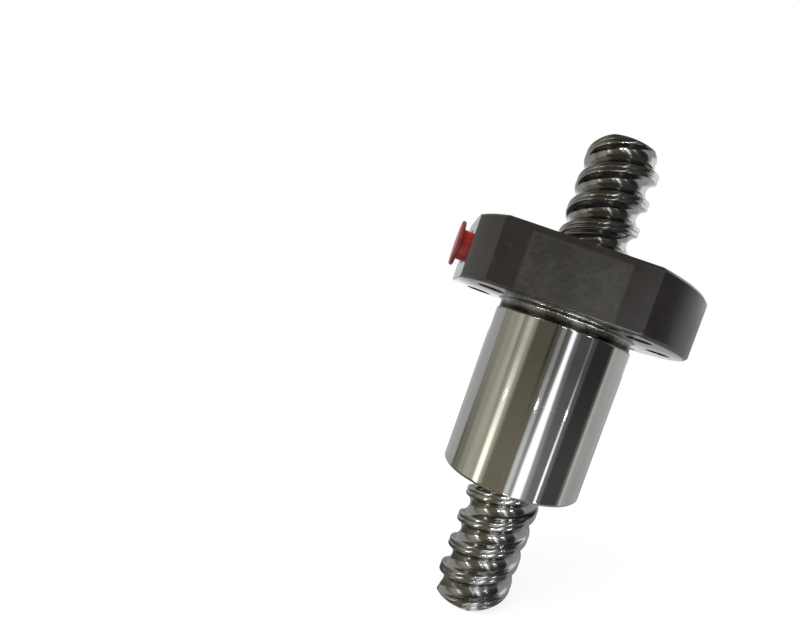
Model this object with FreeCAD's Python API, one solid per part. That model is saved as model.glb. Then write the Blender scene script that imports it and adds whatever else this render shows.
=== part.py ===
# Flanged ball nut with internal ball returns, on a piece of its ball screw.
# Millimetres. +Z runs along the screw towards the flange face, and z = 0 is the flange seat.
import FreeCAD, Part
import math
import os

V = FreeCAD.Vector
Z_AXIS = V(0, 0, 1)
ORIGIN = V(0, 0, 0)

# Ball thread
lead = 10.0                    # right hand
starts = 2
thread_rise = 1.7              # height at which the first start crosses the +X side
ball_diameter = 3.175
ball_circle_radius = 7.25      # screw axis to ball centres
groove_conformity = 0.54       # raceway radius over ball diameter
raceway_clearance = 0.08       # ball to raceway along the contact lines
contact_angle = 45.0
raceway_edge_break = 0.2       # chamfer where a raceway meets its land

# Screw
screw_radius = 7.0             # crest
screw_top = 32.0
screw_bottom = -54.0
screw_end_chamfer = 0.4
seam_width = 0.5               # shallow rolled seam along the middle of the land
seam_depth = 0.12

# Nut body
body_radius = 13.0
body_end = -30.7               # lower face of the nut
body_edge_chamfer = 0.5
neck_radius = 12.6
neck_height = 1.75
neck_fillet = 0.6
neck_shoulder_chamfer = 0.25
nut_bore_radius = 7.4

# Flange
flange_radius = 22.5
flange_thickness = 10.4
flange_rim_chamfer = 0.5
flat_distance = 19.0           # axis to each of the two flats
flat_edge_chamfer = 0.35
bolt_circle_radius = 17.5
bolt_angles = (0, 45, 135, 180, 225, 315)
bolt_hole_diameter = 4.5
counterbore_diameter = 7.6
counterbore_depth = 4.3

# Grease port
port_angle = 202.5             # between two bolt holes, on a small flat of the rim
port_height = 5.6
port_flat_depth = 1.15         # cut into the rim for the small flat
port_hole_diameter = 5.3
port_hole_depth = 6.0
port_countersink = 0.35
grease_channel_diameter = 2.2
plug_clearance = 0.1           # stem to port wall
plug_stem_depth = 4.8
plug_stem_exposed = 1.3
plug_head_diameter = 7.6
plug_head_thickness = 0.65
plug_head_edge = 0.15
plug_nose_chamfer = 0.6
plug_core_diameter = 2.6       # moulded hollow up the stem
plug_core_depth = 3.6

# Seal recesses, the same at both ends
recess_radius = 9.9
recess_mouth_chamfer = 0.3
snap_ring_setback = 0.5        # nut face to snap ring groove
snap_ring_thickness = 0.9
snap_groove_radius = 10.6
snap_groove_play = 0.1         # round each side of the ring
snap_ring_width = 1.4
snap_ring_gap = 40.0           # angle between the ring's ends
snap_ring_turn = 75.0          # where the gap lies
snap_ear_diameter = 2.3
snap_ear_radius = 8.6          # screw axis to ear centres
snap_ear_hole = 1.0
wiper_thickness = 2.4
wiper_fit = 0.05               # wiper to recess wall
wiper_screw_clearance = 0.15
wiper_lip_radius = 6.3         # lip reaches down into the screw's groove
felt_thickness = 1.8
felt_play = 0.12               # axial, each side
felt_wall_clearance = 0.2
felt_screw_clearance = 0.2

# Ball returns
circuit_count = 2              # one for each start
deflector_span = 92.0          # angle over which a ball crosses back by one turn
deflector_lift = 1.9           # rise of the ball path over the lands
track_clearance = 0.12         # channel wall to ball
deflector_half_length = 6.0    # across the axis
deflector_half_height = 6.1    # along the axis
deflector_corner_radius = 1.5
deflector_outer_radius = 11.3
deflector_fit = 0.05
track_lead_in = 30.0           # angle of plain raceway drawn at each end of the crossing's track
track_steps = 8                # points of the track's curve on each side of its middle
ball_gap = 0.06                # least gap between balls in a circuit

# Worked out
pitch = lead / starts
ball_radius = ball_diameter / 2
groove_radius = groove_conformity * ball_diameter
groove_offset = (groove_radius - ball_radius - raceway_clearance) * math.cos(math.radians(contact_angle))
flange_top = flange_thickness
port_flat_distance = flange_radius - port_flat_depth
body_top = -neck_height
snap_groove_width = snap_ring_thickness + 2 * snap_groove_play
wiper_outer_face = snap_ring_setback + snap_groove_width
felt_outer_face = wiper_outer_face + wiper_thickness + felt_play
recess_depth = felt_outer_face + felt_thickness + felt_play
raceway_top = flange_top - recess_depth
raceway_bottom = body_end + recess_depth
port_direction = V(math.cos(math.radians(port_angle)), math.sin(math.radians(port_angle)), 0)
cut_margin = 0.5               # how far a cutting tool runs past the surface it cuts


def ring(inner, outer, low, high):
    tube = Part.makeCylinder(outer, high - low, V(0, 0, low))
    return tube.cut(Part.makeCylinder(inner, high - low, V(0, 0, low)))


def turned(outline):
    # outline of (radius, height) corners, turned about Z; a third entry marks the middle of an arc
    points = [V(p[0], 0, p[1]) for p in outline]
    edges = []
    start = points[0]
    middle = None
    for entry, point in zip(outline[1:] + outline[:1], points[1:] + points[:1]):
        if len(entry) == 3:
            middle = point
            continue
        curve = Part.Arc(start, middle, point) if middle else Part.LineSegment(start, point)
        edges.append(curve.toShape())
        start = point
        middle = None
    return Part.Face(Part.Wire(edges)).revolve(ORIGIN, Z_AXIS, 360)


def raceway_section(inward, land_radius, growth=0.0):
    # two arcs that meet at the root, a broken edge at the land and a lid beyond it
    side = -1 if inward else 1
    radius = groove_radius + growth
    centre_r = ball_circle_radius - side * groove_offset
    edge_r = land_radius + side * raceway_edge_break
    lid_r = land_radius - side * cut_margin
    root = V(centre_r + side * math.sqrt(radius ** 2 - groove_offset ** 2), 0, 0)
    flanks = []
    for flank in (1, -1):
        centre = V(centre_r, 0, -flank * groove_offset)
        edge = V(edge_r, 0, centre.z + flank * math.sqrt(radius ** 2 - (edge_r - centre_r) ** 2))
        lid = V(lid_r, 0, edge.z + flank * abs(lid_r - edge_r))
        bisector = (root - centre + edge - centre).normalize()
        arc = Part.Arc(root, centre + bisector * radius, edge).toShape()
        flanks.append((arc, Part.LineSegment(edge, lid).toShape(), lid))
    top = Part.LineSegment(flanks[0][2], flanks[1][2]).toShape()
    return Part.Wire([flanks[0][0], flanks[0][1], top, flanks[1][1], flanks[1][0]])


def threaded(section, low, high, rise=0.0):
    # the section follows each start, or runs at a rise above it, from below low to above high
    sweeps = []
    for start in range(starts):
        height = thread_rise + rise + start * pitch
        first_turn = math.floor((low - height) / lead - 0.5)
        last_turn = math.ceil((high - height) / lead + 0.5)
        helix = Part.makeLongHelix(lead, (last_turn - first_turn) * lead, ball_circle_radius, 0, False)
        sweep = Part.Wire(helix.Edges).makePipeShell([section], True, True)
        sweep.translate(V(0, 0, first_turn * lead + height))
        sweeps.append(sweep)
    return sweeps


def save(shape, name):
    shape.exportStep(f"parts/{name}.step")


# Screw: rolled thread that runs out through both plain cut ends
def make_screw():
    c = screw_end_chamfer
    rod = turned([(0, screw_bottom), (screw_radius - c, screw_bottom), (screw_radius, screw_bottom + c),
                  (screw_radius, screw_top - c), (screw_radius - c, screw_top), (0, screw_top)])
    grooves = threaded(raceway_section(True, screw_radius), screw_bottom, screw_top)
    slope = seam_width / 2 / seam_depth
    mouth = slope * (seam_depth + cut_margin)
    root = V(screw_radius - seam_depth, 0, 0)
    edges = [V(screw_radius + cut_margin, 0, z) for z in (mouth, -mouth)]
    seams = threaded(Part.makePolygon([root] + edges + [root]), screw_bottom, screw_top, pitch / 2)
    return rod.cut(grooves).cut(seams)


# Ball circuits: nearly one turn of raceway, then a crossing back to the turn below, over two lands
# and the empty raceway of the other start between them. One circuit is drawn with its crossing
# on the +X side, and copied along the thread, each copy to the next start.
def circuit_copies(shape):
    middle = (raceway_top + raceway_bottom) / 2
    copies = []
    for circuit in range(circuit_count):
        height = middle + (circuit - (circuit_count - 1) / 2) * lead
        start_height = thread_rise + lead / 2 + circuit % starts * pitch
        copy = shape.copy()
        copy.rotate(ORIGIN, Z_AXIS, (height - start_height) / lead * 360 % 360)
        copy.translate(V(0, 0, height))
        copies.append(copy)
    return copies


def track_point(angle):
    # centre of a ball on the track: a raceway turn on each side, joined by the crossing
    share = min(max(angle / deflector_span + 0.5, 0), 1)
    step_back = lead * (share ** 2 * (3 - 2 * share) - 0.5)
    radius = ball_circle_radius + deflector_lift * 4 * share * (1 - share)
    turn = math.radians(angle)
    return V(radius * math.cos(turn), radius * math.sin(turn), lead * angle / 360 - step_back)


def spread(points, count):
    # that many places, evenly spaced along a closed run of points
    lengths = [0.0]
    for a, b in zip(points, points[1:]):
        lengths.append(lengths[-1] + a.distanceToPoint(b))
    places = []
    i = 0
    for k in range(count):
        target = lengths[-1] * k / count
        while lengths[i + 1] < target:
            i += 1
        part_way = (target - lengths[i]) / (lengths[i + 1] - lengths[i])
        places.append(points[i] + (points[i + 1] - points[i]) * part_way)
    return places


def closest(places):
    return min(a.distanceToPoint(b) for a, b in zip(places, places[1:] + places[:1]))


def make_balls():
    # as many balls as the closed track takes with the least gap between any two
    track = [track_point(angle - 180) for angle in range(361)]
    length = sum(a.distanceToPoint(b) for a, b in zip(track, track[1:]))
    count = int(length / ball_diameter)
    places = spread(track, count)
    while closest(places) < ball_diameter + ball_gap:
        count -= 1
        places = spread(track, count)
    return Part.makeCompound([Part.makeSphere(ball_radius, place) for place in places])


# Deflector: an insert in a blind pocket of the bore, with the crossing's track on its inner side
def deflector_block(growth):
    y = deflector_half_length + growth
    z = deflector_half_height + growth
    block = Part.makeBox(deflector_outer_radius + cut_margin, 2 * y, 2 * z, V(0, -y, -z))
    radial_edges = [e for e in block.Edges if abs(e.tangentAt(e.FirstParameter).x) > 0.5]
    block = block.makeFillet(deflector_corner_radius, radial_edges)
    return block.common(Part.makeCylinder(deflector_outer_radius + growth, 4 * z, V(0, 0, -2 * z)))


def make_deflector():
    # the track is a round channel, swept along the ball centres and open towards the screw
    half = deflector_span / 2 + track_lead_in
    centres = Part.BSplineCurve()
    centres.interpolate([track_point(half * i / track_steps) for i in range(-track_steps, track_steps + 1)])
    line = centres.toShape()
    start = line.FirstParameter
    section = Part.Circle(line.valueAt(start), line.tangentAt(start), ball_radius + track_clearance)
    halves = [Part.Arc(section, turn * math.pi, (turn + 1) * math.pi).toShape() for turn in (0, 1)]
    track = Part.Wire(line).makePipeShell([Part.Wire(halves)], True, False)
    height = 4 * deflector_half_height
    bore = Part.makeCylinder(nut_bore_radius, height, V(0, 0, -height / 2))
    return deflector_block(0.0).cut(bore).cut(track)


# Nut body: flange, relief neck and ground body in one piece
def nut_outline():
    c = flange_rim_chamfer
    f = neck_fillet
    f_mid = f * (1 - math.sqrt(0.5))
    s = neck_shoulder_chamfer
    e = body_edge_chamfer
    return turned([(0, flange_top), (flange_radius - c, flange_top), (flange_radius, flange_top - c),
                   (flange_radius, c), (flange_radius - c, 0), (neck_radius + f, 0),
                   (neck_radius + f_mid, -f_mid, True), (neck_radius, -f), (neck_radius, body_top),
                   (body_radius - s, body_top), (body_radius, body_top - s), (body_radius, body_end + e),
                   (body_radius - e, body_end), (0, body_end)])


def two_flats():
    # bar along X whose section has the flats and their broken edges
    reach = flange_radius + cut_margin
    c = flat_edge_chamfer
    f = flat_distance
    low = body_end - cut_margin
    corners = [(-f + c, flange_top), (f - c, flange_top), (f, flange_top - c), (f, c), (f - c, 0),
               (f - c, low), (-f + c, low), (-f + c, 0), (-f, c), (-f, flange_top - c)]
    wire = Part.makePolygon([V(-reach, y, z) for y, z in corners + corners[:1]])
    return Part.Face(wire).extrude(V(2 * reach, 0, 0))


def along_port(shape):
    # what is drawn up the Z axis from the origin is put on the grease port's axis
    shape.Placement = FreeCAD.Placement(V(0, 0, port_height), FreeCAD.Rotation(Z_AXIS, port_direction))
    return shape


def grease_port():
    hole_r = port_hole_diameter / 2
    mouth_r = hole_r + port_countersink
    channel_r = grease_channel_diameter / 2
    floor = port_flat_distance - port_hole_depth
    lip = port_flat_distance - port_countersink
    return along_port(turned([(0, nut_bore_radius), (channel_r, nut_bore_radius), (channel_r, floor),
                              (hole_r, floor), (hole_r, lip), (mouth_r, port_flat_distance),
                              (mouth_r, flange_radius), (0, flange_radius)]))


def rim_flat():
    width = 2 * flange_radius
    block = Part.makeBox(flange_radius, width, flange_thickness + 2 * cut_margin,
                         V(port_flat_distance, -width / 2, -cut_margin))
    block.rotate(ORIGIN, Z_AXIS, port_angle)
    return block


def bolt_hole(angle):
    turn = math.radians(angle)
    at = V(bolt_circle_radius * math.cos(turn), bolt_circle_radius * math.sin(turn), 0)
    hole_r = bolt_hole_diameter / 2
    head_r = counterbore_diameter / 2
    floor = flange_top - counterbore_depth
    hole = turned([(0, 0), (hole_r, 0), (hole_r, floor),
                   (head_r, floor), (head_r, flange_top), (0, flange_top)])
    hole.translate(at)
    return hole


def nut_inside():
    # bore between two seal recesses, each with a snap ring groove near its mouth
    m = recess_mouth_chamfer
    ends = []
    for face, inwards, floor in ((body_end, 1, raceway_bottom), (flange_top, -1, raceway_top)):
        near = face + inwards * snap_ring_setback
        far = near + inwards * snap_groove_width
        ends.append([(0, face), (recess_radius + m, face), (recess_radius, face + inwards * m),
                     (recess_radius, near), (snap_groove_radius, near), (snap_groove_radius, far),
                     (recess_radius, far), (recess_radius, floor), (nut_bore_radius, floor)])
    return turned(ends[0] + ends[1][::-1])


def make_nut():
    nut = nut_outline().common(two_flats()).cut(nut_inside())
    nut = nut.cut([rim_flat(), grease_port()] + [bolt_hole(angle) for angle in bolt_angles])
    nut = nut.cut(circuit_copies(deflector_block(deflector_fit)))
    return nut.cut(threaded(raceway_section(False, nut_bore_radius), raceway_bottom, raceway_top))


# Seals: each piece is drawn between depths measured inwards from the nut's end face
def at_end(make, upper):
    face = flange_top if upper else body_end
    inwards = -1 if upper else 1

    def between(near, far):
        heights = (face + inwards * near, face + inwards * far)
        return min(heights), max(heights)
    return make(between)


def make_wiper(between):
    low, high = between(wiper_outer_face, wiper_outer_face + wiper_thickness)
    clear_radius = screw_radius + wiper_screw_clearance
    passage = Part.makeCylinder(clear_radius, high - low, V(0, 0, low))
    passage = passage.cut(threaded(raceway_section(True, clear_radius, -wiper_screw_clearance), low, high))
    return ring(wiper_lip_radius, recess_radius - wiper_fit, low, high).cut(passage)


def make_felt(between):
    low, high = between(felt_outer_face, felt_outer_face + felt_thickness)
    return ring(screw_radius + felt_screw_clearance, recess_radius - felt_wall_clearance, low, high)


def make_snap_ring(between):
    near = snap_ring_setback + snap_groove_play
    low, high = between(near, near + snap_ring_thickness)
    outer = snap_groove_radius - snap_groove_play
    hoop = ring(outer - snap_ring_width, outer, low, high)
    gap = Part.makeCylinder(outer + cut_margin, high - low, V(0, 0, low), Z_AXIS, snap_ring_gap)
    gap.rotate(ORIGIN, Z_AXIS, -snap_ring_gap / 2)
    hoop = hoop.cut(gap)
    ear_turn = math.radians(snap_ring_gap / 2) + math.asin(snap_ear_diameter / 2 / snap_ear_radius)
    for side in (1, -1):
        at = V(snap_ear_radius * math.cos(ear_turn), side * snap_ear_radius * math.sin(ear_turn), low)
        hoop = hoop.fuse(Part.makeCylinder(snap_ear_diameter / 2, high - low, at))
        hoop = hoop.cut(Part.makeCylinder(snap_ear_hole / 2, high - low, at))
    hoop.rotate(ORIGIN, Z_AXIS, snap_ring_turn)
    return hoop


# Grease port plug: a head that stands off the rim, on a stem pushed into the port
def make_plug():
    stem_r = port_hole_diameter / 2 - plug_clearance
    head_r = plug_head_diameter / 2
    core_r = plug_core_diameter / 2
    nose = port_flat_distance - plug_stem_depth
    head_low = port_flat_distance + plug_stem_exposed
    head_high = head_low + plug_head_thickness
    c = plug_nose_chamfer
    b = plug_head_edge
    return along_port(turned([(0, nose + plug_core_depth), (core_r, nose + plug_core_depth), (core_r, nose),
                              (stem_r - c, nose), (stem_r, nose + c), (stem_r, head_low),
                              (head_r - b, head_low), (head_r, head_low + b),
                              (head_r, head_high - b), (head_r - b, head_high), (0, head_high)]))


os.makedirs("parts", exist_ok=True)
save(make_nut(), "nut_body")
save(make_screw(), "screw_shaft")
for number, circuit in enumerate(circuit_copies(make_balls()), 1):
    save(circuit, f"ball_circuit_{number}")
for number, deflector in enumerate(circuit_copies(make_deflector()), 1):
    save(deflector, f"deflector_{number}")
for end, upper in (("upper", True), ("lower", False)):
    save(at_end(make_wiper, upper), f"wiper_seal_{end}")
    save(at_end(make_felt, upper), f"felt_ring_{end}")
    save(at_end(make_snap_ring, upper), f"snap_ring_{end}")
save(make_plug(), "grease_port_plug")
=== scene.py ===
# Flanged ball nut on a piece of its ball screw, dressed for a studio picture
import math

import bpy
from mathutils import Matrix, Vector


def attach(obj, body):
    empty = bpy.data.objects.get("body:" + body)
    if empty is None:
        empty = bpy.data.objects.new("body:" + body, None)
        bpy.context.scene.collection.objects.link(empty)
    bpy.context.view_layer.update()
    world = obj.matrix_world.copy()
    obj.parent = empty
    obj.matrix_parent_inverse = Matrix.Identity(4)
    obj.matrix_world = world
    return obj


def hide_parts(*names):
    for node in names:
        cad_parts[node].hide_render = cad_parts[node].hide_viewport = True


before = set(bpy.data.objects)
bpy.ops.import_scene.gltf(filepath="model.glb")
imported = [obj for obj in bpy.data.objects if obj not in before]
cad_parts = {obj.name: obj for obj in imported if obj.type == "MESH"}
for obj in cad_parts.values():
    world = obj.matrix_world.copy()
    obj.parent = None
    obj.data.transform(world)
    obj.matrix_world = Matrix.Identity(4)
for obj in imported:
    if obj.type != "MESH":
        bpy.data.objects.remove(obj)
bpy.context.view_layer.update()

mm = 0.001
weld = 0.002 * mm   # corners nearer to each other than this become one
bpy.context.scene.view_settings.view_transform = "Standard"
print("frame loaded")


# Hand tools

def clearSelection():
    if bpy.context.object and bpy.context.object.mode != "OBJECT":
        bpy.ops.object.mode_set(mode="OBJECT")
    bpy.ops.object.select_all(action="DESELECT")


def workOn(piece):
    clearSelection()
    bpy.context.view_layer.objects.active = piece
    piece.select_set(True)


def newPiece(name):
    piece = bpy.context.object
    piece.name = name
    piece.data.name = name
    return piece


def editCorners():
    # edit mode with every corner picked
    bpy.ops.object.mode_set(mode="EDIT")
    bpy.ops.mesh.select_mode(type="VERT")
    bpy.ops.mesh.select_all(action="SELECT")


def arc(centreR, centreZ, radius, fromDeg, toDeg, count):
    # points on an arc in the (radius, height) plane, both ends included
    turns = [math.radians(fromDeg + (toDeg - fromDeg) * i / count) for i in range(count + 1)]
    return [(centreR + radius * math.cos(t), centreZ + radius * math.sin(t)) for t in turns]


def turnPiece(name, outline, steps):
    # one ring of the outline after another is pulled out and scaled; open ends are filled
    clearSelection()
    radius, height = outline[0]
    bpy.ops.mesh.primitive_circle_add(vertices=steps, radius=radius * mm)
    piece = newPiece(name)
    editCorners()
    bpy.ops.transform.translate(value=(0, 0, height * mm))
    for nextRadius, nextHeight in outline[1:]:
        rise = (nextHeight - height) * mm
        bpy.ops.mesh.extrude_region_move(TRANSFORM_OT_translate={"value": (0, 0, rise)})
        grow = nextRadius / radius
        bpy.ops.transform.resize(value=(grow, grow, 1), center_override=(0, 0, nextHeight * mm))
        radius, height = nextRadius, nextHeight
    bpy.ops.mesh.select_all(action="SELECT")
    bpy.ops.mesh.remove_doubles(threshold=weld)
    bpy.ops.mesh.fill_holes(sides=0)
    bpy.ops.mesh.select_all(action="SELECT")
    bpy.ops.mesh.normals_make_consistent(inside=False)
    bpy.ops.object.mode_set(mode="OBJECT")
    return piece


def drawLine(name, points):
    # a single corner pulled along a run of points
    clearSelection()
    bpy.ops.mesh.primitive_plane_add(size=mm)
    piece = newPiece(name)
    editCorners()
    bpy.ops.mesh.merge(type="CENTER")
    places = [Vector(p) * mm for p in points]
    bpy.ops.transform.translate(value=places[0])
    for here, there in zip(places, places[1:]):
        bpy.ops.mesh.extrude_vertices_move(TRANSFORM_OT_translate={"value": there - here})
    bpy.ops.object.mode_set(mode="OBJECT")
    return piece


def drawBar(name, section, along):
    # a drawn section, filled and pulled out into a bar
    bar = drawLine(name, section)
    editCorners()
    bpy.ops.mesh.edge_face_add()
    bpy.ops.mesh.extrude_region_move(TRANSFORM_OT_translate={"value": Vector(along) * mm})
    bpy.ops.mesh.select_all(action="SELECT")
    bpy.ops.mesh.normals_make_consistent(inside=False)
    bpy.ops.object.mode_set(mode="OBJECT")
    return bar


def addModifier(piece, kind, **values):
    workOn(piece)
    bpy.ops.object.modifier_add(type=kind)
    modifier = piece.modifiers[-1]
    for key, value in values.items():
        setattr(modifier, key, value)
    bpy.ops.object.modifier_apply(modifier=modifier.name)


def carve(piece, tool, operation="DIFFERENCE"):
    addModifier(piece, "BOOLEAN", object=tool, operation=operation, solver="EXACT")
    bpy.data.objects.remove(tool)


def softenEdges(piece, width, segments, overDeg):
    # every edge sharper than the angle gets a fine round, and the big faces keep their own normals
    addModifier(piece, "BEVEL", width=width * mm, segments=segments, limit_method="ANGLE",
                angle_limit=math.radians(overDeg), use_clamp_overlap=False)
    workOn(piece)
    bpy.ops.object.shade_smooth()
    addModifier(piece, "WEIGHTED_NORMAL", mode="FACE_AREA", weight=50)


def pressDown(piece, height):
    # corners that the bevel pushed past a flat face go back to it
    workOn(piece)
    bpy.ops.object.mode_set(mode="EDIT")
    bpy.ops.mesh.select_mode(type="VERT")
    bpy.ops.mesh.select_all(action="DESELECT")
    bpy.ops.object.mode_set(mode="OBJECT")
    for corner in piece.data.vertices:
        corner.select = corner.co.z > height * mm
    bpy.ops.object.mode_set(mode="EDIT")
    bpy.ops.transform.resize(value=(1, 1, 0), center_override=(0, 0, height * mm))
    bpy.ops.object.mode_set(mode="OBJECT")


def dress(piece, *materials):
    piece.data.materials.clear()
    for material in materials:
        piece.data.materials.append(material)


def paintFaces(piece, material, test):
    # faces are picked by their middle, given as (radius, height, middle) in millimetres
    workOn(piece)
    bpy.ops.object.mode_set(mode="EDIT")
    bpy.ops.mesh.select_mode(type="FACE")
    bpy.ops.mesh.select_all(action="DESELECT")
    bpy.ops.object.mode_set(mode="OBJECT")
    for face in piece.data.polygons:
        middle = face.center / mm
        face.select = test(math.hypot(middle.x, middle.y), middle.z, middle)
    piece.active_material_index = piece.data.materials.find(material.name)
    bpy.ops.object.mode_set(mode="EDIT")
    bpy.ops.object.material_slot_assign()
    bpy.ops.object.mode_set(mode="OBJECT")


# Node tools

def addNode(tree, kind, inputs=None, **settings):
    node = tree.nodes.new("ShaderNode" + kind)
    for key, value in settings.items():
        setattr(node, key, value)
    for key, value in (inputs or {}).items():
        if isinstance(value, bpy.types.NodeSocket):
            tree.links.new(value, node.inputs[key])
        else:
            node.inputs[key].default_value = value
    return node


def math1(tree, operation, first, second=0.0):
    return addNode(tree, "Math", {0: first, 1: second}, operation=operation).outputs[0]


def spread(tree, value, low, high, toLow=0.0, toHigh=1.0, soft=False):
    kind = "SMOOTHSTEP" if soft else "LINEAR"
    inputs = {"Value": value, "From Min": low, "From Max": high, "To Min": toLow, "To Max": toHigh}
    return addNode(tree, "MapRange", inputs, interpolation_type=kind).outputs[0]


def blendColour(tree, mask, first, second):
    node = addNode(tree, "Mix", data_type="RGBA")
    for socket, value in ((node.inputs[0], mask), (node.inputs[6], first), (node.inputs[7], second)):
        if isinstance(value, bpy.types.NodeSocket):
            tree.links.new(value, socket)
        elif isinstance(value, tuple):
            socket.default_value = (*value, 1)
        else:
            socket.default_value = value
    return node.outputs[2]


def startGroup(name, takes, gives):
    tree = bpy.data.node_groups.new(name, "ShaderNodeTree")
    for socket, kind in takes.items():
        tree.interface.new_socket(socket, in_out="INPUT", socket_type="NodeSocket" + kind)
    for socket in gives:
        tree.interface.new_socket(socket, in_out="OUTPUT", socket_type="NodeSocketFloat")
    return tree, tree.nodes.new("NodeGroupInput").outputs, tree.nodes.new("NodeGroupOutput").inputs


def useGroup(tree, group, **inputs):
    return addNode(tree, "Group", inputs, node_tree=group).outputs


# Shared effects

def makeToolMarks():
    # fine lines left by turning, grinding or milling: noise drawn out by Stretch
    tree, take, give = startGroup("toolMarks", {"Vector": "Vector", "Stretch": "Vector"}, ["Marks"])
    drawn = addNode(tree, "VectorMath", {0: take["Vector"], 1: take["Stretch"]}, operation="MULTIPLY")
    inputs = {"Vector": drawn.outputs[0], "Scale": 1.0, "Detail": 3.0, "Roughness": 0.6}
    noise = addNode(tree, "TexNoise", inputs)
    tree.links.new(spread(tree, noise.outputs[0], 0.3, 0.7), give["Marks"])
    return tree


def makeMottle():
    # cloudy patches from two sizes of noise
    tree, take, give = startGroup("mottle", {"Vector": "Vector", "Scale": "Float"}, ["Mottle"])
    broad = addNode(tree, "TexNoise", {"Vector": take["Vector"], "Scale": take["Scale"], "Detail": 4.0})
    fineScale = math1(tree, "MULTIPLY", take["Scale"], 5.3)
    fine = addNode(tree, "TexNoise", {"Vector": take["Vector"], "Scale": fineScale, "Detail": 2.0})
    both = math1(tree, "MULTIPLY_ADD", fine.outputs[0], 0.4)
    tree.links.new(math1(tree, "MULTIPLY", broad.outputs[0], 0.6), both.node.inputs[2])
    tree.links.new(spread(tree, both, 0.36, 0.64), give["Mottle"])
    return tree


def makeScratches():
    # hairline scratches in two directions, few and broken
    tree, take, give = startGroup("scratches", {"Vector": "Vector", "Scale": "Float"}, ["Scratches"])
    found = None
    for turn, lean in ((0.5, 0.9), (2.1, -0.6)):
        placed = addNode(tree, "Mapping", {"Vector": take["Vector"], "Rotation": (lean, turn, turn * 0.7)})
        drawn = addNode(tree, "VectorMath", {0: placed.outputs[0], 1: (1.0, 0.03, 0.5)}, operation="MULTIPLY")
        noise = addNode(tree, "TexNoise", {"Vector": drawn.outputs[0], "Scale": take["Scale"], "Detail": 1.0})
        line = spread(tree, noise.outputs[0], 0.70, 0.76)
        found = math1(tree, "MAXIMUM", found, line) if found else line
    tree.links.new(found, give["Scratches"])
    return tree


def makeSpecks():
    # small round pits or dust grains; Amount is their share of the cell size
    takes = {"Vector": "Vector", "Scale": "Float", "Amount": "Float"}
    tree, take, give = startGroup("specks", takes, ["Specks"])
    cells = addNode(tree, "TexVoronoi", {"Vector": take["Vector"], "Scale": take["Scale"]})
    edge = math1(tree, "MULTIPLY", take["Amount"], 0.6)
    inputs = {"Value": cells.outputs["Distance"], "From Min": take["Amount"], "From Max": edge}
    dot = addNode(tree, "MapRange", inputs)
    tree.links.new(dot.outputs[0], give["Specks"])
    return tree


def makePanelMask():
    # one inside a box, fading over Soft at its sides
    takes = {"Vector": "Vector", "Centre": "Vector", "Half": "Vector", "Soft": "Float"}
    tree, take, give = startGroup("panelMask", takes, ["Panel"])
    away = addNode(tree, "VectorMath", {0: take["Vector"], 1: take["Centre"]}, operation="SUBTRACT")
    away = addNode(tree, "VectorMath", {0: away.outputs[0]}, operation="ABSOLUTE")
    away = addNode(tree, "VectorMath", {0: take["Half"], 1: away.outputs[0]}, operation="SUBTRACT")
    sides = addNode(tree, "SeparateXYZ", {0: away.outputs[0]}).outputs
    least = math1(tree, "MINIMUM", math1(tree, "MINIMUM", sides[0], sides[1]), sides[2])
    inside = addNode(tree, "MapRange", {"Value": least, "From Min": 0.0, "From Max": take["Soft"]})
    tree.links.new(inside.outputs[0], give["Panel"])
    return tree


def makeAxisRadius():
    # distance from the screw's axis
    tree, take, give = startGroup("axisRadius", {"Vector": "Vector"}, ["Radius"])
    flat = addNode(tree, "VectorMath", {0: take["Vector"], 1: (1, 1, 0)}, operation="MULTIPLY")
    length = addNode(tree, "VectorMath", {0: flat.outputs[0]}, operation="LENGTH")
    tree.links.new(length.outputs["Value"], give["Radius"])
    return tree


toolMarks = makeToolMarks()
mottle = makeMottle()
scratches = makeScratches()
specks = makeSpecks()
panelMask = makePanelMask()
axisRadius = makeAxisRadius()
print("shared effects made")


# Materials

def startMaterial(name, **sockets):
    material = bpy.data.materials.new(name)
    material.use_nodes = True
    tree = material.node_tree
    shader = tree.nodes["Principled BSDF"]
    for key, value in sockets.items():
        shader.inputs[key.replace("_", " ")].default_value = value
    place = addNode(tree, "TexCoord").outputs["Object"]
    return material, tree, shader, place


def finishMaterial(tree, shader, colour, roughness, height, depth):
    # depth is the bump's height in millimetres
    tree.links.new(colour, shader.inputs["Base Color"])
    tree.links.new(roughness, shader.inputs["Roughness"])
    bump = addNode(tree, "Bump", {"Height": height, "Distance": depth * mm, "Strength": 1.0})
    tree.links.new(bump.outputs[0], shader.inputs["Normal"])


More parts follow.
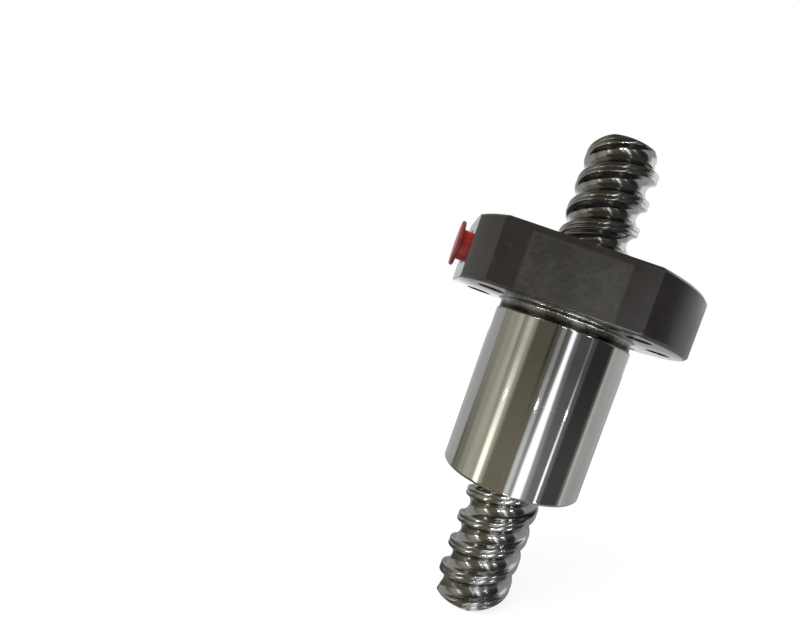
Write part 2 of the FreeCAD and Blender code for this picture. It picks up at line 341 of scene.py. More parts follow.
def makeBlackOxide(field):
    # blackened steel: brown-grey satin with cloudy patches and milling lines
    material, tree, shader, place = startMaterial("blackOxide", IOR=1.7, Metallic=0.0)
    clouds = useGroup(tree, mottle, Vector=place, Scale=260.0)["Mottle"]
    marks = useGroup(tree, toolMarks, Vector=place, Stretch=(70, 70, 5200))["Marks"]
    hair = useGroup(tree, scratches, Vector=place, Scale=1500.0)["Scratches"]
    colour = blendColour(tree, clouds, (0.025, 0.0205, 0.0190), (0.036, 0.0295, 0.0270))
    colour = blendColour(tree, math1(tree, "MULTIPLY", marks, 0.35), colour, (0.044, 0.0365, 0.0330))
    colour = blendColour(tree, math1(tree, "MULTIPLY", hair, 0.25), colour, (0.09, 0.085, 0.08))
    # the bare marking field: etched a little lighter and greener, mottled, in fine hatching, with a border
    middle, half = (Vector(corner) * mm for corner in field)
    border, outerSoft, innerSoft = 0.3 * mm, 0.2 * mm, 0.3 * mm
    inner = half - Vector((border, 0.0, border))
    inside = useGroup(tree, panelMask, Vector=place, Centre=middle, Half=half, Soft=outerSoft)["Panel"]
    middlePart = useGroup(tree, panelMask, Vector=place, Centre=middle, Half=inner, Soft=innerSoft)["Panel"]
    worn = useGroup(tree, mottle, Vector=place, Scale=300.0)["Mottle"]
    short = useGroup(tree, toolMarks, Vector=place, Stretch=(1000, 1000, 1900))["Marks"]
    burn = spread(tree, math1(tree, "MULTIPLY", math1(tree, "ADD", worn, short), 0.5), 0.25, 0.75)
    hatch = useGroup(tree, toolMarks, Vector=place, Stretch=(260, 260, 3600))["Marks"]
    etched = blendColour(tree, burn, (0.010, 0.0088, 0.0070), (0.122, 0.113, 0.092))
    etched = blendColour(tree, math1(tree, "MULTIPLY", hatch, 0.25), etched, (0.060, 0.055, 0.046))
    etched = blendColour(tree, middlePart, (0.070, 0.065, 0.055), etched)
    colour = blendColour(tree, inside, colour, etched)
    rough = math1(tree, "MULTIPLY_ADD", inside, 0.1)
    tree.links.new(spread(tree, clouds, 0, 1, 0.28, 0.38), rough.node.inputs[2])
    height = math1(tree, "ADD", marks, math1(tree, "MULTIPLY", clouds, 0.6))
    finishMaterial(tree, shader, colour, rough, height, 0.004)
    return material


def makeGroundSteel(stopLine):
    # the fitting diameter: bright, ground all round, with one fine line where the wheel stopped; the lighter
    # colour along that line is a painted highlight
    stopHeight, faint, full = (part * mm for part in stopLine)
    material, tree, shader, place = startMaterial("groundSteel", Metallic=1.0)
    marks = useGroup(tree, toolMarks, Vector=place, Stretch=(90, 90, 9000))["Marks"]
    clouds = useGroup(tree, mottle, Vector=place, Scale=150.0)["Mottle"]
    pits = useGroup(tree, specks, Vector=place, Scale=420.0, Amount=0.07)["Specks"]
    high = addNode(tree, "SeparateXYZ", {0: place}).outputs[2]
    away = math1(tree, "ABSOLUTE", math1(tree, "SUBTRACT", high, stopHeight))
    stop = spread(tree, away, faint, full)
    colour = blendColour(tree, clouds, (0.50, 0.495, 0.475), (0.535, 0.53, 0.515))
    colour = blendColour(tree, math1(tree, "MULTIPLY", marks, 0.25), colour, (0.46, 0.455, 0.44))
    colour = blendColour(tree, math1(tree, "MULTIPLY", pits, 0.35), colour, (0.25, 0.24, 0.22))
    # stop line: a real shallow groove in the bump, and a lighter colour along it that is a painted highlight
    broken = math1(tree, "MULTIPLY", stop, spread(tree, clouds, 0, 1, 0.4, 1.0))
    colour = blendColour(tree, math1(tree, "MULTIPLY", broken, 0.3), colour, (0.66, 0.66, 0.65))
    rough = math1(tree, "ADD", spread(tree, marks, 0, 1, 0.035, 0.06), math1(tree, "MULTIPLY", clouds, 0.02))
    ragged = useGroup(tree, toolMarks, Vector=place, Stretch=(420, 420, 3200))["Marks"]
    height = math1(tree, "ADD", math1(tree, "MULTIPLY", marks, 0.015), math1(tree, "MULTIPLY", ragged, 0.05))
    finishMaterial(tree, shader, colour, rough, math1(tree, "SUBTRACT", height, broken), 0.013)
    return material


def makeNeckSteel(paintedSheenFrom, paintedSheenTo):
    # the relief behind the flange: turned, not ground; its colour is painted shade, dark low down, and a
    # painted reflection, lighter towards the flange
    material, tree, shader, place = startMaterial("neckSteel", Metallic=1.0)
    marks = useGroup(tree, toolMarks, Vector=place, Stretch=(60, 60, 6000))["Marks"]
    clouds = useGroup(tree, mottle, Vector=place, Scale=240.0)["Mottle"]
    # painted shade (dark) low down and painted reflection of the fillet (light) near the flange, blended by
    # height
    dark = blendColour(tree, clouds, (0.030, 0.028, 0.025), (0.075, 0.072, 0.066))
    light = blendColour(tree, clouds, (0.14, 0.135, 0.125), (0.34, 0.335, 0.32))
    high = addNode(tree, "SeparateXYZ", {0: place}).outputs[2]
    colour = blendColour(tree, spread(tree, high, paintedSheenFrom * mm, paintedSheenTo * mm, soft=True), dark, light)
    rough = math1(tree, "ADD", spread(tree, marks, 0, 1, 0.20, 0.30), math1(tree, "MULTIPLY", clouds, 0.05))
    finishMaterial(tree, shader, colour, rough, marks, 0.003)
    return material


def makeBoreSteel():
    # turned and hardened inside surfaces, oily
    material, tree, shader, place = startMaterial("boreSteel", Metallic=1.0)
    marks = useGroup(tree, toolMarks, Vector=place, Stretch=(80, 80, 4200))["Marks"]
    clouds = useGroup(tree, mottle, Vector=place, Scale=320.0)["Mottle"]
    colour = blendColour(tree, clouds, (0.31, 0.295, 0.275), (0.43, 0.42, 0.40))
    rough = math1(tree, "ADD", spread(tree, marks, 0, 1, 0.22, 0.36), math1(tree, "MULTIPLY", clouds, 0.06))
    finishMaterial(tree, shader, colour, rough, marks, 0.003)
    return material


def makeScrewSteel(s):
    # rolled and polished: lines follow the thread; the colour turns darker and browner towards the groove's
    # root
    material, tree, shader, place = startMaterial("screwSteel", Metallic=1.0)
    side = addNode(tree, "SeparateXYZ", {0: place}).outputs
    angle = math1(tree, "ARCTAN2", side[1], side[0])
    turnPerHeight = 2 * math.pi / (s["lead"] * mm)
    phase = math1(tree, "SUBTRACT", math1(tree, "MULTIPLY", side[2], turnPerHeight), angle)
    phase = math1(tree, "MULTIPLY", phase, s["starts"])
    across = addNode(tree, "CombineXYZ", {0: math1(tree, "COSINE", phase), 1: math1(tree, "SINE", phase)})
    rolled = useGroup(tree, toolMarks, Vector=across.outputs[0], Stretch=(34, 34, 1))["Marks"]
    clouds = useGroup(tree, mottle, Vector=place, Scale=420.0)["Mottle"]
    pits = useGroup(tree, specks, Vector=place, Scale=700.0, Amount=0.09)["Specks"]
    radius = useGroup(tree, axisRadius, Vector=place)["Radius"]
    root = spread(tree, radius, *(part * mm for part in s["rootDarkening"]))
    colour = blendColour(tree, clouds, (0.35, 0.345, 0.335), (0.43, 0.425, 0.415))
    # darker and browner towards the groove's root, in patches
    rootDarkening = math1(tree, "MULTIPLY", root, spread(tree, clouds, 0, 1, 0.15, 0.5))
    colour = blendColour(tree, rootDarkening, colour, (0.29, 0.272, 0.245))
    colour = blendColour(tree, math1(tree, "MULTIPLY", pits, 0.5), colour, (0.2, 0.18, 0.16))
    rough = math1(tree, "ADD", spread(tree, rolled, 0, 1, 0.06, 0.12), math1(tree, "MULTIPLY", clouds, 0.04))
    finishMaterial(tree, shader, colour, rough, math1(tree, "ADD", rolled, clouds), 0.0012)
    return material


def makePlugRed(paintedRimShade, portAngle, portHeight):
    # moulded red plastic; the head's rim is darkened with painted shade
    material, tree, shader, place = startMaterial(
        "plugRed", Subsurface_Weight=0.25, Subsurface_Radius=(0.0012, 0.0003, 0.0002),
        Subsurface_Scale=1.0, IOR=1.49)
    turned = addNode(tree, "Mapping", {"Vector": place, "Location": (0, 0, -portHeight * mm),
                                       "Rotation": (0, 0, -math.radians(portAngle))})
    across = addNode(tree, "VectorMath", {0: turned.outputs[0], 1: (0, 1, 1)}, operation="MULTIPLY")
    radius = addNode(tree, "VectorMath", {0: across.outputs[0]}, operation="LENGTH").outputs["Value"]
    rim = spread(tree, radius, *(part * mm for part in paintedRimShade), soft=True)
    clouds = useGroup(tree, mottle, Vector=place, Scale=500.0)["Mottle"]
    colour = blendColour(tree, clouds, (0.66, 0.030, 0.026), (0.76, 0.055, 0.045))
    # painted shade on the head's rim
    colour = blendColour(tree, math1(tree, "MULTIPLY", rim, 0.85), colour, (0.26, 0.06, 0.06))
    rough = spread(tree, clouds, 0, 1, 0.30, 0.42)
    finishMaterial(tree, shader, colour, rough, clouds, 0.01)
    return material


def makeWiperResin():
    # off-white moulded seal, a little oil-stained towards the screw
    material, tree, shader, place = startMaterial(
        "wiperResin", Subsurface_Weight=0.1, Subsurface_Radius=(0.001, 0.0008, 0.0005), IOR=1.5)
    stainFrom, stainTo = 8.4 * mm, 7.0 * mm
    clouds = useGroup(tree, mottle, Vector=place, Scale=350.0)["Mottle"]
    radius = useGroup(tree, axisRadius, Vector=place)["Radius"]
    stain = spread(tree, radius, stainFrom, stainTo)
    stain = math1(tree, "MULTIPLY", stain, spread(tree, clouds, 0, 1, 0.2, 0.7))
    colour = blendColour(tree, clouds, (0.62, 0.60, 0.53), (0.70, 0.68, 0.61))
    colour = blendColour(tree, stain, colour, (0.36, 0.31, 0.23))
    finishMaterial(tree, shader, colour, spread(tree, clouds, 0, 1, 0.42, 0.58), clouds, 0.012)
    return material


def makeOilFelt():
    # pressed wool felt soaked in oil: short fibres lying every way
    material, tree, shader, place = startMaterial("oilFelt")
    first = useGroup(tree, toolMarks, Vector=place, Stretch=(900, 5200, 1800))["Marks"]
    second = useGroup(tree, toolMarks, Vector=place, Stretch=(5200, 900, 2600))["Marks"]
    fibre = math1(tree, "MAXIMUM", first, second)
    clouds = useGroup(tree, mottle, Vector=place, Scale=400.0)["Mottle"]
    colour = blendColour(tree, fibre, (0.16, 0.125, 0.08), (0.40, 0.335, 0.235))
    colour = blendColour(tree, math1(tree, "MULTIPLY", clouds, 0.4), colour, (0.22, 0.18, 0.12))
    finishMaterial(tree, shader, colour, spread(tree, fibre, 0, 1, 0.95, 0.8), fibre, 0.08)
    return material


def makeSpringSteel():
    # phosphated spring wire, rubbed bright in places
    material, tree, shader, place = startMaterial("springSteel", Metallic=0.75)
    clouds = useGroup(tree, mottle, Vector=place, Scale=600.0)["Mottle"]
    hair = useGroup(tree, scratches, Vector=place, Scale=2200.0)["Scratches"]
    colour = blendColour(tree, clouds, (0.055, 0.055, 0.058), (0.12, 0.118, 0.115))
    colour = blendColour(tree, math1(tree, "MULTIPLY", hair, 0.6), colour, (0.32, 0.31, 0.30))
    finishMaterial(tree, shader, colour, spread(tree, clouds, 0, 1, 0.36, 0.52), clouds, 0.004)
    return material


def makeBallSteel():
    # chrome steel, polished, with a thin film of grease
    material, tree, shader, place = startMaterial("ballSteel", Metallic=1.0)
    clouds = useGroup(tree, mottle, Vector=place, Scale=700.0)["Mottle"]
    colour = blendColour(tree, clouds, (0.60, 0.60, 0.60), (0.52, 0.50, 0.46))
    finishMaterial(tree, shader, colour, spread(tree, clouds, 0, 1, 0.05, 0.16), clouds, 0.0006)
    return material


def makeDeflectorSteel():
    # sintered insert: dull grey with open pores
    material, tree, shader, place = startMaterial("deflectorSteel", Metallic=0.85)
    grain = useGroup(tree, mottle, Vector=place, Scale=1500.0)["Mottle"]
    pores = useGroup(tree, specks, Vector=place, Scale=2600.0, Amount=0.22)["Specks"]
    colour = blendColour(tree, grain, (0.24, 0.232, 0.22), (0.36, 0.352, 0.34))
    colour = blendColour(tree, math1(tree, "MULTIPLY", pores, 0.7), colour, (0.05, 0.047, 0.043))
    height = math1(tree, "SUBTRACT", grain, pores)
    finishMaterial(tree, shader, colour, spread(tree, grain, 0, 1, 0.40, 0.58), height, 0.01)
    return material


# Nut body: turned as one piece, then flats, port and bolt holes are cut

nut = {
    "flangeRadius": 22.5, "flangeTop": 10.4, "rimChamfer": 0.5,
    "flatDistance": 19.0, "flatChamfer": 0.35,
    "neckRadius": 12.6, "neckFillet": 0.6, "filletSteps": 8, "bodyTop": -1.75, "shoulderChamfer": 0.25,
    "bodyRadius": 13.0, "bodyEnd": -30.7, "bodyChamfer": 0.5,
    "boreRadius": 7.4, "recessRadius": 9.9, "recessDepth": 6.04, "mouthChamfer": 0.3,
    "ringGroove": (0.5, 1.6, 10.6),   # near and far side from the end face, radius
    "boltCircle": 17.5, "boltAngles": (0, 45, 135, 180, 225, 315),
    "boltHole": 2.25, "headHole": 3.8, "headDepth": 4.3,
    "portAngle": 202.5, "portHeight": 5.6, "portFlat": 21.35,
    "portHole": 2.65, "portDepth": 6.0, "portCountersink": 0.35,
    "edgeRound": (0.1, 2, 14),   # width, segments, least angle
    "steps": 240, "holeSteps": 48,
    "field": ((0, -19.0, 4.85), (7.8, 0.15, 4.45)),   # bare marking field: middle and half sizes
    "stopLine": (-15.1, 0.12, 0.04),   # height, half width with its soft edge, half width without it
    "neckPaintedSheen": (-1.35, -0.6),   # painted: the neck turns from painted shade to a lighter painted reflection from one height to the other
}
blackOxide = makeBlackOxide(nut["field"])
groundSteel = makeGroundSteel(nut["stopLine"])
boreSteel = makeBoreSteel()
neckSteel = makeNeckSteel(*nut["neckPaintedSheen"])


def nutOutline(n):
    top, end, c = n["flangeTop"], n["bodyEnd"], n["rimChamfer"]
    f, s, e = n["neckFillet"], n["shoulderChamfer"], n["bodyChamfer"]
    outside = [(n["flangeRadius"] - c, top), (n["flangeRadius"], top - c), (n["flangeRadius"], c),
               (n["flangeRadius"] - c, 0)]
    outside += arc(n["neckRadius"] + f, -f, f, 90, 180, n["filletSteps"])
    outside += [(n["neckRadius"], n["bodyTop"]), (n["bodyRadius"] - s, n["bodyTop"]),
                (n["bodyRadius"], n["bodyTop"] - s), (n["bodyRadius"], end + e), (n["bodyRadius"] - e, end)]
    near, far, grooveRadius = n["ringGroove"]
    r, m = n["recessRadius"], n["mouthChamfer"]
    inside = [(r + m, 0), (r, m), (r, near), (grooveRadius, near), (grooveRadius, far), (r, far),
              (r, n["recessDepth"]), (n["boreRadius"], n["recessDepth"])]
    lower = [(radius, end + depth) for radius, depth in inside]
    upper = [(radius, top - depth) for radius, depth in reversed(inside)]
    return outside + lower + upper + outside[:1]


def flatsBar(n):
    # the flats' section runs past the flange along its broken edges, so no faces coincide
    spare, past = 0.5, 1
    f, c, top = n["flatDistance"], n["flatChamfer"], n["flangeTop"]
    waist, low, reach = f - c - spare, n["bodyEnd"] - past, n["flangeRadius"] + past
    half = [(waist, top + spare), (f, top - c), (f, c), (waist, -spare), (waist, low)]
    corners = half + [(-y, z) for y, z in reversed(half)]
    return drawBar("flatsBar", [(-reach, y, z) for y, z in corners], (2 * reach, 0, 0))


def alongPort(n):
    turn = math.radians(n["portAngle"])
    lean = Vector((math.cos(turn), math.sin(turn), 0)).to_track_quat("Z", "X").to_matrix().to_4x4()
    return Matrix.Translation((0, 0, n["portHeight"] * mm)) @ lean


def portTools(n):
    flat, hole, sink = n["portFlat"], n["portHole"], n["portCountersink"]
    width, thick, past = 60, 10, 2.0
    clearSelection()
    bpy.ops.mesh.primitive_cube_add(size=1)
    block = newPiece("rimFlatBlock")
    block.scale = Vector((width, width, thick)) * mm
    lift = Matrix.Translation((0, 0, (flat + thick / 2) * mm))
    block.matrix_world = alongPort(n) @ lift @ block.matrix_basis
    drill = turnPiece("portDrill", [(hole, flat - n["portDepth"]), (hole, flat - sink),
                                    (hole + sink + past, flat + past)], n["holeSteps"])
    drill.matrix_world = alongPort(n)
    return block, drill


def boltDrill(n, angle):
    past = 1.0
    floor = n["flangeTop"] - n["headDepth"]
    drill = turnPiece("boltDrill", [(n["boltHole"], -past), (n["boltHole"], floor), (n["headHole"], floor),
                                    (n["headHole"], n["flangeTop"] + past)], n["holeSteps"])
    turn = math.radians(angle)
    drill.location = Vector((math.cos(turn), math.sin(turn), 0)) * n["boltCircle"] * mm
    return drill


def buildNut(n):
    piece = turnPiece("nutBody", nutOutline(n), n["steps"])
    carve(piece, flatsBar(n), "INTERSECT")
    for tool in portTools(n):
        carve(piece, tool)
    for angle in n["boltAngles"]:
        carve(piece, boltDrill(n, angle))
    softenEdges(piece, *n["edgeRound"])
    pressDown(piece, n["flangeTop"])
    dress(piece, blackOxide, groundSteel, boreSteel, neckSteel)
    # a face whose middle is this near a plane lies in it; walls are told apart a little past their radius
    near, nearSeat = 0.02, 0.004
    outer, boreEnd = n["recessRadius"] + 0.1, n["ringGroove"][2] + 0.05
    shoulder = n["bodyTop"] - near
    outward = alongPort(n).to_3x3() @ Vector((0, 0, 1))
    paintFaces(piece, groundSteel, lambda r, z, p: z < shoulder and r > outer)
    paintFaces(piece, groundSteel, lambda r, z, p: abs(z) < nearSeat and r > n["neckRadius"])
    paintFaces(piece, neckSteel, lambda r, z, p: shoulder < z < -nearSeat and r > outer)
    paintFaces(piece, boreSteel, lambda r, z, p: r < boreEnd and abs(z - n["bodyEnd"]) > near)
    paintFaces(piece, groundSteel, lambda r, z, p: p.dot(outward) > n["portFlat"] - near)   # milled bare
    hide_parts("nut_body")
    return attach(piece, "nut")


nutBody = buildNut(nut)
print("nut body made:", len(nutBody.data.polygons), "faces")


# Screw: the section of both starts, run round by the Screw modifier and cut to length

screw = {
    "crestRadius": 7.0, "lead": 10.0, "starts": 2, "threadRise": 1.7,
    "top": 32.0, "bottom": -54.0, "endChamfer": 0.4,
    "ballCircle": 7.25, "grooveRadius": 1.7145, "grooveOffset": 0.0332,
    # the land, from the groove's edge to the seam: share of the way, depth under the crest
    "land": ((0, 0.2), (0.12, 0.1), (0.24, 0.036), (0.36, 0.006), (0.5, 0), (0.64, 0.008), (0.78, 0.033),
             (0.9, 0.075), (1, 0.12)),
    "steps": 96, "arcSteps": 8, "smoothAngle": 35,
    "rootDarkening": (6.7, 5.7),   # the colour turns darker and browner from one radius to the other
}
screwSteel = makeScrewSteel(screw)


def threadSection(s):
    # from seam to seam, with a groove between them, for each start in turn
    crest, half = s["crestRadius"], s["lead"] / s["starts"] / 2
    centre = s["ballCircle"] + s["grooveOffset"]
    edge = crest - s["land"][0][1]
    rootTurn = math.degrees(math.asin(s["grooveOffset"] / s["grooveRadius"]))
    edgeTurn = math.degrees(math.acos((centre - edge) / s["grooveRadius"]))
    upper = arc(centre, -s["grooveOffset"], s["grooveRadius"], 180 - rootTurn, 180 - edgeTurn, s["arcSteps"])
    edgeHeight = upper[-1][1]
    upper += [(crest - depth, edgeHeight + (half - edgeHeight) * share) for share, depth in s["land"][1:]]
    groove = [(radius, -height) for radius, height in reversed(upper[1:])] + upper
    section = groove[:1]
    for start in range(s["starts"]):
        section += [(radius, height + 2 * half * start) for radius, height in groove[1:]]
    return section


def buildScrew(s):
    lead = s["lead"]
    first = math.floor(s["bottom"] / lead) - 1
    turns = math.ceil(s["top"] / lead) - first + 1
    low = first * lead + s["threadRise"]
    points = [(radius, 0, height + low) for radius, height in threadSection(s)]
    piece = drawLine("screwShaft", points)
    addModifier(piece, "SCREW", axis="Z", screw_offset=lead * mm, angle=2 * math.pi, iterations=turns,
                steps=s["steps"], render_steps=s["steps"], use_normal_calculate=True)
    spare = 0.513   # between two rings of corners, so that no edge lies in the cut
    workOn(piece)
    editCorners()
    bpy.ops.mesh.remove_doubles(threshold=weld)
    for height, up in ((s["top"] + spare, 1), (s["bottom"] - spare, -1)):
        bpy.ops.mesh.select_all(action="SELECT")
        bpy.ops.mesh.bisect(plane_co=(0, 0, height * mm), plane_no=(0, 0, up), clear_outer=True)
        bpy.ops.mesh.edge_face_add()
    bpy.ops.mesh.select_all(action="SELECT")
    bpy.ops.mesh.normals_make_consistent(inside=False)
    c, r = s["endChamfer"], s["crestRadius"]
    past = 0.5
    blank = turnPiece("screwBlank", [(r - c, s["bottom"]), (r + past, s["bottom"] + c + past),
                                     (r + past, s["top"] - c - past), (r - c, s["top"])], s["steps"])
    carve(piece, blank, "INTERSECT")
    workOn(piece)
    bpy.ops.object.shade_smooth_by_angle(angle=math.radians(s["smoothAngle"]))
    dress(piece, screwSteel)
    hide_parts("screw_shaft")
    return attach(piece, "screw")


screwShaft = buildScrew(screw)
print("screw made:", len(screwShaft.data.polygons), "faces")


# Grease port plug

plug = {
    "stemRadius": 2.55, "nose": 16.55, "noseChamfer": 0.6, "headLow": 22.65, "headHigh": 23.3,
    "headRadius": 3.8, "headEdge": 0.15, "coreRadius": 1.3, "coreTop": 20.15, "steps": 64,
    "edgeRound": (0.08, 2, 25),   # width, segments, least angle
    "paintedRimShade": (3.2, 3.75),   # painted shade: the head darkens from one radius to the other
}
plugRed = makePlugRed(plug["paintedRimShade"], nut["portAngle"], nut["portHeight"])


def buildPlug(p):
    stem, head, core = p["stemRadius"], p["headRadius"], p["coreRadius"]
    nose, low, high = p["nose"], p["headLow"], p["headHigh"]
    c, e = p["noseChamfer"], p["headEdge"]
    outline = [(core, p["coreTop"]), (core, nose), (stem - c, nose), (stem, nose + c), (stem, low),
               (head - e, low), (head, low + e), (head, high - e), (head - e, high)]
    piece = turnPiece("greasePortPlug", outline, p["steps"])
    piece.matrix_world = alongPort(nut)
    workOn(piece)
    bpy.ops.object.transform_apply(location=True, rotation=True, scale=True)
    softenEdges(piece, *p["edgeRound"])
    dress(piece, plugRed)
    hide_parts("grease_port_plug")
    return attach(piece, "plug")


greasePortPlug = buildPlug(plug)
print("plug made:", len(greasePortPlug.data.polygons), "faces")


# Seals and inner parts keep their CAD shapes

innerFinishes = {
    "wiper_seal_upper": "wiperResin", "wiper_seal_lower": "wiperResin",
    "felt_ring_upper": "oilFelt", "felt_ring_lower": "oilFelt",
    "snap_ring_upper": "springSteel", "snap_ring_lower": "springSteel",
    "ball_circuit_1": "ballSteel", "ball_circuit_2": "ballSteel",
    "deflector_1": "deflectorSteel", "deflector_2": "deflectorSteel",
}
innerMaterials = {
    "wiperResin": makeWiperResin(), "oilFelt": makeOilFelt(), "springSteel": makeSpringSteel(),
    "ballSteel": makeBallSteel(), "deflectorSteel": makeDeflectorSteel(),
}
for node, finish in innerFinishes.items():
    dress(bpy.data.objects[node], innerMaterials[finish])
print("inner parts dressed")


# Stage: pale floor, white surround, soft light and a drum of reflection cards

stage = {
    "floorSize": 3.0, "floorShade": 0.34, "floorWhite": 0.79, "surround": 1.0, "roomLight": 0.6,
    "lampPlace": (-0.22, -0.34, 0.42), "lampSize": 0.35, "lampPower": 1.3,
}


def seenDirectly(tree):
    # one for the camera, reflections and looks through glass
    path = addNode(tree, "LightPath").outputs
    either = math1(tree, "MAXIMUM", path["Is Camera Ray"], path["Is Glossy Ray"])
    return math1(tree, "MAXIMUM", either, path["Is Transmission Ray"])


def buildWorld(s):
    world = bpy.data.worlds.new("studioWorld")
    bpy.context.scene.world = world
    world.use_nodes = True
    tree = world.node_tree
    tree.nodes.clear()
    room = addNode(tree, "Background", {"Color": (1, 1, 1, 1), "Strength": s["roomLight"]})
    white = addNode(tree, "Background", {"Color": (1, 1, 1, 1), "Strength": s["surround"]})
    mix = addNode(tree, "MixShader", {0: seenDirectly(tree), 1: room.outputs[0], 2: white.outputs[0]})
    addNode(tree, "OutputWorld", {"Surface": mix.outputs[0]})


def buildFloor(s):
    clearSelection()
    bpy.ops.mesh.primitive_plane_add(size=s["floorSize"], location=(0, 0, screw["bottom"] * mm))
    floor = newPiece("floor")
    material = bpy.data.materials.new("paleFloor")
    material.use_nodes = True
    tree = material.node_tree
    tree.nodes.clear()
    shade = s["floorShade"]
    matt = addNode(tree, "BsdfDiffuse", {"Color": (shade, shade, shade, 1)})
    white = math1(tree, "MULTIPLY", seenDirectly(tree), s["floorWhite"])
    glow = addNode(tree, "Emission", {"Strength": white})
    both = addNode(tree, "AddShader", {0: matt.outputs[0], 1: glow.outputs[0]})
    addNode(tree, "OutputMaterial", {"Surface": both.outputs[0]})
    dress(floor, material)


def buildLamp(s):
    clearSelection()
    place = Vector(s["lampPlace"])
    bpy.ops.object.light_add(type="AREA", location=place)
    lamp = bpy.context.object
    lamp.name = "softLamp"
    lamp.data.size = s["lampSize"]
    lamp.data.energy = s["lampPower"]
    lamp.rotation_euler = (-place).to_track_quat("-Z", "Y").to_euler()
    lamp.visible_camera = False
    lamp.visible_glossy = False   # the metal sees the cards instead


# Reflection cards on a drum round the object, seen only in reflections.
# Half widths and lights change with height, in mm: high is above "rise", level is between "rise" and "foot",
# and low is under "foot", with even ramps inside both. On the floor the low light at the wall fades to the
# floor's own light at "floorFade" from the axis.
# Each card: middle in degrees round the axis, half widths (high, level, low), soft edge, top in mm,
# lights (high, level, low, floor), tint. Later cards lie over earlier ones.

grey, olive, brown = (1.0, 1.0, 1.01), (1.01, 1.0, 0.82), (1.0, 0.95, 0.71)
warm, cool = (1.01, 1.0, 0.89), (0.97, 1.0, 1.05)
whole = 200   # the top of a card that covers the wall's whole height
drum = {
    "radius": 80.0, "top": 100.0, "aboveFloor": 0.2, "steps": 96,
    "rise": (18.0, 32.0), "foot": (-8.0, -42.0), "topEdge": 3.0, "floorFade": 38.0,
    "wall": (0.07, 0.15, 0.245, 0.20), "wallTint": brown, "roof": 0.08,
    # small lamps: height on the wall or distance from the axis on the floor, radius, light
    "lampTurns": (-134, -86, -70.5, -41.5), "wallLamps": (-23.0, 1.2, 28.0), "floorLamps": (66.0, 5.0, 60.0),
    "cards": {
        # right and behind
        "brightWall": (86, (86, 86, 86), 3, whole, (0.50, 0.55, 0.57, 0.38), grey),
        "backLeft": (158, (14, 14, 14), 4, whole, (0.30, 0.55, 0.56, 0.12), grey),
        "whiteSide": (50, (34, 34, 34), 10, whole, (1.4, 0.60, 0.52, 0.38), grey),
        "backRight": (72, (16, 16, 16), 14, whole, (0.90, 0.75, 0.42, 0.35), grey),
        "backLight": (114, (14, 14, 14), 12, whole, (0.60, 1.25, 0.70, 0.45), grey),
        "backShade": (93, (34, 34, 34), 14, -6.0, (0.32, 0.32, 0.35, 0.30), grey),
        "wallEnd": (4, (1, 3, 3), 3, whole, (0.50, 0.62, 0.74, 0.4), grey),
        # left
        "gap": (176.5, (3, 3, 6), 4, whole, (0.22, 0.41, 0.20, 0.12), olive),
        "curtainBack": (-175, (8, 8, 8), 6, whole, (0.22, 0.38, 0.27, 0.14), olive),
        "curtainMiddle": (-163, (8, 8, 8), 8, whole, (0.24, 0.48, 0.45, 0.18), olive),
        "curtainFront": (-151, (5, 5, 8), 7, whole, (0.24, 0.66, 0.62, 0.22), olive),
        "tubeGlow": (-134, (8, 10, 10), 7, 10, (0.20, 0.48, 0.60, 0.26), olive),
        "tube": (-134, (3, 4, 4.2), 4.5, 10, (0.80, 0.80, 2.1, 0.6), warm),
        # front
        "shelfEdge": (-95.5, (1, 2, 1), 3, whole, (0.06, 0.07, 0.28, 0.3), brown),
        "darkSide": (-46, (18, 18, 18), 8, whole, (0.08, 0.115, 0.25, 0.30), grey),
        "shelf": (-85, (3, 3, 3.8), 4, 10, (0.42, 0.42, 0.95, 0.9), cool),
        "windowGlow": (-69, (4, 8, 12), 7, 10, (0.12, 0.25, 0.52, 0.45), cool),
        "window": (-70, (2, 3, 6.2), 4.5, whole, (0.7, 2.1, 2.2, 1.3), cool),
        "thinTube": (-41.5, (1.0, 1.2, 1.7), 1.2, 10, (0.3, 0.3, 2.0, 0.7), cool),
        "doorway": (-19, (14.5, 14.5, 14.5), 4, whole, (0.06, 0.042, 0.088, 0.16), cool),
    },
}


def makeLightCard():
    # one on an upright strip of the drum, fading over Edge at its sides and over TopEdge at its top
    takes = {name: "Float" for name in ("Turn", "Height", "Middle", "Half", "Edge", "Top", "TopEdge")}
    tree, take, give = startGroup("lightCard", takes, ["Card"])
    away = math1(tree, "SUBTRACT", take["Turn"], take["Middle"])
    away = addNode(tree, "Math", {0: away, 1: 180.0, 2: -180.0}, operation="WRAP").outputs[0]
    away = math1(tree, "ABSOLUTE", away)
    past = math1(tree, "DIVIDE", math1(tree, "SUBTRACT", away, take["Half"]), take["Edge"])
    above = math1(tree, "DIVIDE", math1(tree, "SUBTRACT", take["Height"], take["Top"]), take["TopEdge"])
    across = spread(tree, past, 0.5, -0.5, soft=True)
    tree.links.new(math1(tree, "MULTIPLY", across, spread(tree, above, 0.5, -0.5, soft=True)), give["Card"])
    return tree


def makeLampSpot():
    # a small round lamp, Turn and Middle in degrees and the rest in millimetres; Half is its radius
    takes = {name: "Float" for name in ("Turn", "Height", "Middle", "Level", "Reach", "Half")}
    tree, take, give = startGroup("lampSpot", takes, ["Spot"])
    across = math1(tree, "RADIANS", math1(tree, "SUBTRACT", take["Turn"], take["Middle"]))
    across = math1(tree, "MULTIPLY", across, take["Reach"])
    along = math1(tree, "SUBTRACT", take["Height"], take["Level"])
    squares = math1(tree, "ADD", math1(tree, "POWER", across, 2), math1(tree, "POWER", along, 2))
    away = math1(tree, "DIVIDE", math1(tree, "SQRT", squares), take["Half"])
    tree.links.new(spread(tree, away, 1.1, 0.7), give["Spot"])
    return tree


lightCard = makeLightCard()
lampSpot = makeLampSpot()


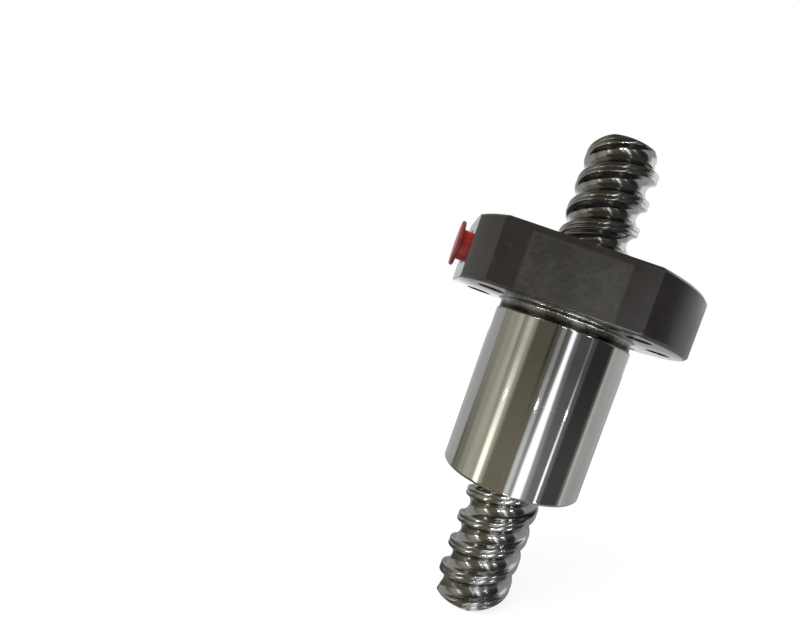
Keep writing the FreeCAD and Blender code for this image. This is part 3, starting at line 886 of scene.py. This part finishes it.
def hideFromAllButReflections(piece):
    piece.visible_camera = False
    piece.visible_diffuse = False
    piece.visible_transmission = False
    piece.visible_volume_scatter = False
    piece.visible_shadow = False


def tinted(tint, light):
    return tuple(part * light for part in tint)


def glowMaterial(name):
    material = bpy.data.materials.new(name)
    material.use_nodes = True
    tree = material.node_tree
    tree.nodes.clear()
    glow = addNode(tree, "Emission", {"Strength": 1.0})
    addNode(tree, "OutputMaterial", {"Surface": glow.outputs[0]})
    return material, tree, glow.inputs["Color"]


def cardMaterial(name, d, lying):
    # the same cards for the wall and, lying, for the floor
    material, tree, target = glowMaterial(name)
    place = addNode(tree, "TexCoord").outputs["Object"]
    side = addNode(tree, "SeparateXYZ", {0: place}).outputs
    turn = math1(tree, "DEGREES", math1(tree, "ARCTAN2", side[1], side[0]))
    height = math1(tree, "DIVIDE", side[2], mm)

    def byHeight(high, level, low):
        gain = spread(tree, height, *d["rise"], 0, high - level)
        return math1(tree, "ADD", spread(tree, height, *d["foot"], level, low), gain)

    if lying:
        level, half, lampLight = d["floorLamps"]
        along = math1(tree, "DIVIDE", useGroup(tree, axisRadius, Vector=place)["Radius"], mm)
        lampReach = level
    else:
        level, half, lampLight = d["wallLamps"]
        along = height
        lampReach = d["radius"]

    def glow(tint, lights):
        if lying:
            light = spread(tree, along, d["radius"], d["floorFade"], *lights[2:])
        else:
            light = byHeight(*lights[:3])
        return addNode(tree, "VectorMath", {0: tint, "Scale": light}, operation="SCALE").outputs[0]

    colour = glow(d["wallTint"], d["wall"])
    for middle, halves, edge, top, lights, tint in d["cards"].values():
        card = useGroup(tree, lightCard, Turn=turn, Height=height, Middle=middle, Half=byHeight(*halves),
                        Edge=edge, Top=top, TopEdge=d["topEdge"])["Card"]
        colour = blendColour(tree, card, colour, glow(tint, lights))
    for middle in d["lampTurns"]:
        spot = useGroup(tree, lampSpot, Turn=turn, Height=along, Middle=middle, Level=level, Reach=lampReach,
                        Half=half)["Spot"]
        colour = blendColour(tree, spot, colour, tinted(warm, lampLight))
    tree.links.new(colour, target)
    return material


def buildDrum(d):
    low = screw["bottom"] + d["aboveFloor"]
    middle = (0, 0, (d["top"] + low) / 2 * mm)
    clearSelection()
    bpy.ops.mesh.primitive_cylinder_add(vertices=d["steps"], radius=d["radius"] * mm, location=middle,
                                        depth=(d["top"] - low) * mm, end_fill_type="NOTHING")
    wall = newPiece("cardDrum")
    dress(wall, cardMaterial("drumCards", d, False))
    lids = []
    for name, height in (("cardRoof", d["top"]), ("cardFloor", low)):
        clearSelection()
        bpy.ops.mesh.primitive_circle_add(vertices=d["steps"], radius=d["radius"] * mm, fill_type="NGON",
                                          location=(0, 0, height * mm))
        lids.append(newPiece(name))
    roofGlow, _, target = glowMaterial("roofGlow")
    target.default_value = (*tinted(d["wallTint"], d["roof"]), 1)
    dress(lids[0], roofGlow)
    dress(lids[1], cardMaterial("floorCards", d, True))
    for piece in [wall] + lids:
        workOn(piece)
        bpy.ops.object.transform_apply(location=True, rotation=True, scale=True)
        hideFromAllButReflections(piece)


buildWorld(stage)
buildFloor(stage)
buildLamp(stage)
buildDrum(drum)
print("stage set")


# Camera, fitted to the picture's outlines

picture = {"width": 800, "height": 628}
cameraView = {
    "place": (5.768, -85.591, -6.397), "heading": 3.829, "lookDown": 2.439, "roll": 19.797,
    "focalPixels": 462.636, "centrePixel": (548.55, 372.59), "sensor": 36.0,
    "clipStart": 5.0,
}


def buildCamera(c):
    data = bpy.data.cameras.new("camera")
    data.sensor_fit = "HORIZONTAL"
    data.sensor_width = c["sensor"]
    data.lens = c["focalPixels"] / picture["width"] * c["sensor"]
    data.shift_x = (picture["width"] / 2 - c["centrePixel"][0]) / picture["width"]
    data.shift_y = (c["centrePixel"][1] - picture["height"] / 2) / picture["width"]
    data.clip_start = c["clipStart"] * mm
    camera = bpy.data.objects.new("camera", data)
    bpy.context.scene.collection.objects.link(camera)
    turn = Matrix.Rotation(math.radians(c["heading"]), 4, "Z")
    turn = turn @ Matrix.Rotation(math.radians(90 - c["lookDown"]), 4, "X")
    turn = turn @ Matrix.Rotation(math.radians(c["roll"]), 4, "Z")
    camera.matrix_world = Matrix.Translation(Vector(c["place"]) * mm) @ turn
    bpy.context.scene.camera = camera


buildCamera(cameraView)

print("scene done")
